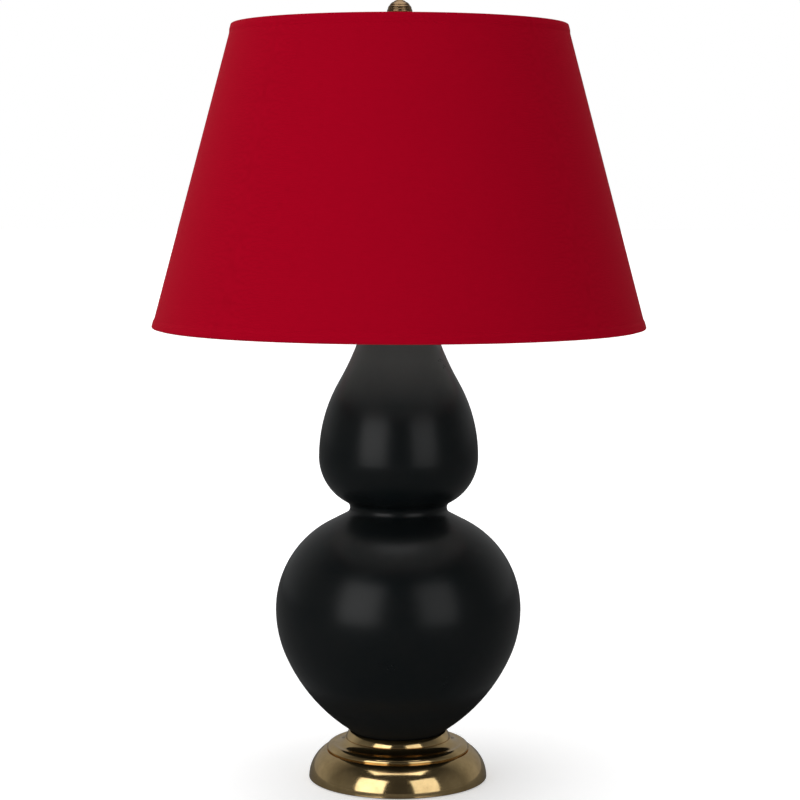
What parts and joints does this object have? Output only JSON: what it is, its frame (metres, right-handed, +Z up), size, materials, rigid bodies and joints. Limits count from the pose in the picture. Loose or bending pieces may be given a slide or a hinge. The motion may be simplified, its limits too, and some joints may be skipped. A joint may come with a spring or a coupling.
{
  "type": "table lamp",
  "caption": "Double gourd table lamp: black glazed body on a stepped brass base, with a red empire shade on a harp under a stepped finial.",
  "frame": {"origin": "centre of the felt's underside, which rests on the table", "axes": "+Z up along the lamp's axis; -Y is the front, with the switch knob; the harp stands in the XZ plane"},
  "size_m": [0.5071, 0.5072, 0.8084],
  "materials": {
    "felt": "felt",
    "fibreboard": "pressed fibreboard",
    "iron": "as cast",
    "antique_brass": "antique, satin lacquer",
    "plain_brass": "satin",
    "steel": "zinc plated",
    "bright_metal": "bright",
    "gasket": "matt",
    "black_glaze": "satin black glaze",
    "liner_board": "plain",
    "black_plastic": "moulded",
    "bulb_glass": "frosted",
    "styrene": "white liner",
    "red_cloth": "woven"
  },
  "bodies": {
    "lamp_base": {"base_felt": "felt", "base_board": "fibreboard", "base_weight": "iron", "base_shell": "antique_brass", "base_collar": "antique_brass", "cord_bushing": "black_plastic", "rod_nut": "steel", "rod_washer": "steel", "lamp_rod": "steel", "gourd_gasket": "gasket", "gourd_lower": "black_glaze", "gourd_upper": "black_glaze", "vase_cap": "plain_brass", "neck_tube": "plain_brass", "check_ring": "plain_brass", "harp_saddle": "plain_brass", "socket_cap": "plain_brass", "socket_screw": "steel", "socket_shell": "plain_brass", "socket_liner": "liner_board", "socket_core": "black_plastic", "socket_screw_shell": "bright_metal", "socket_contact": "bright_metal", "terminal_screw_left": "steel", "terminal_screw_right": "steel", "switch_stem": "steel"},
    "switch": {"switch_knob": "black_plastic"},
    "bulb_rise": {"bulb_contact": "bright_metal"},
    "bulb_turn": {"bulb_cap": "bright_metal", "bulb_glass": "bulb_glass", "bulb_mount": "bulb_glass"},
    "harp": {"harp_bow": "plain_brass", "harp_boss": "plain_brass"},
    "sleeve_left": {"harp_sleeve_left": "plain_brass"},
    "sleeve_right": {"harp_sleeve_right": "plain_brass"},
    "harp_post": {"harp_post": "plain_brass"},
    "shade": {"shade_spider": "steel", "shade_top_ring": "steel", "shade_bottom_ring": "steel", "shade_liner": "styrene", "shade_fabric": "red_cloth", "shade_top_trim": "red_cloth", "shade_bottom_trim": "red_cloth"},
    "finial_rise": {"finial_insert": "plain_brass"},
    "finial_turn": {"finial_body": "antique_brass"}
  },
  "joints": [
    {"name": "switch_knob_turn", "type": "hinge", "parent": "lamp_base", "child": "switch", "pos_m": [0, -0.022, 0.5324], "axis": [0, -1, 0], "continuous": true},
    {"name": "bulb_rise", "type": "slide", "parent": "lamp_base", "child": "bulb_rise", "axis": [0, 0, 1], "range_m": [0, 0.0254]},
    {"name": "bulb_turn", "type": "hinge", "parent": "bulb_rise", "child": "bulb_turn", "pos_m": [0, 0, 0.5419], "axis": [0, 0, 1], "range_deg": [0, 2520]},
    {"name": "harp_lift", "type": "slide", "parent": "lamp_base", "child": "harp", "axis": [0, 0, 1], "range_m": [0, 0.05]},
    {"name": "sleeve_left_lift", "type": "slide", "parent": "harp", "child": "sleeve_left", "axis": [0, 0, 1], "range_m": [0, 0.0135]},
    {"name": "sleeve_right_lift", "type": "slide", "parent": "harp", "child": "sleeve_right", "axis": [0, 0, 1], "range_m": [0, 0.0135]},
    {"name": "post_turn", "type": "hinge", "parent": "harp", "child": "harp_post", "pos_m": [0, 0, 0.7594], "axis": [0, 0, 1], "continuous": true},
    {"name": "shade_lift", "type": "slide", "parent": "harp_post", "child": "shade", "axis": [0, 0, 1], "range_m": [0, 0.32]},
    {"name": "finial_rise", "type": "slide", "parent": "shade", "child": "finial_rise", "axis": [0, 0, 1], "range_m": [0, 0.01223]},
    {"name": "finial_turn", "type": "hinge", "parent": "finial_rise", "child": "finial_turn", "pos_m": [0, 0, 0.7616], "axis": [0, 0, 1], "range_deg": [0, 4680]}
  ],
  "couplings": [
    {"joint": "bulb_rise", "follows": "bulb_turn", "m_per_rad": 0.00057751},
    {"joint": "finial_rise", "follows": "finial_turn", "m_per_rad": 0.00014973}
  ]
}
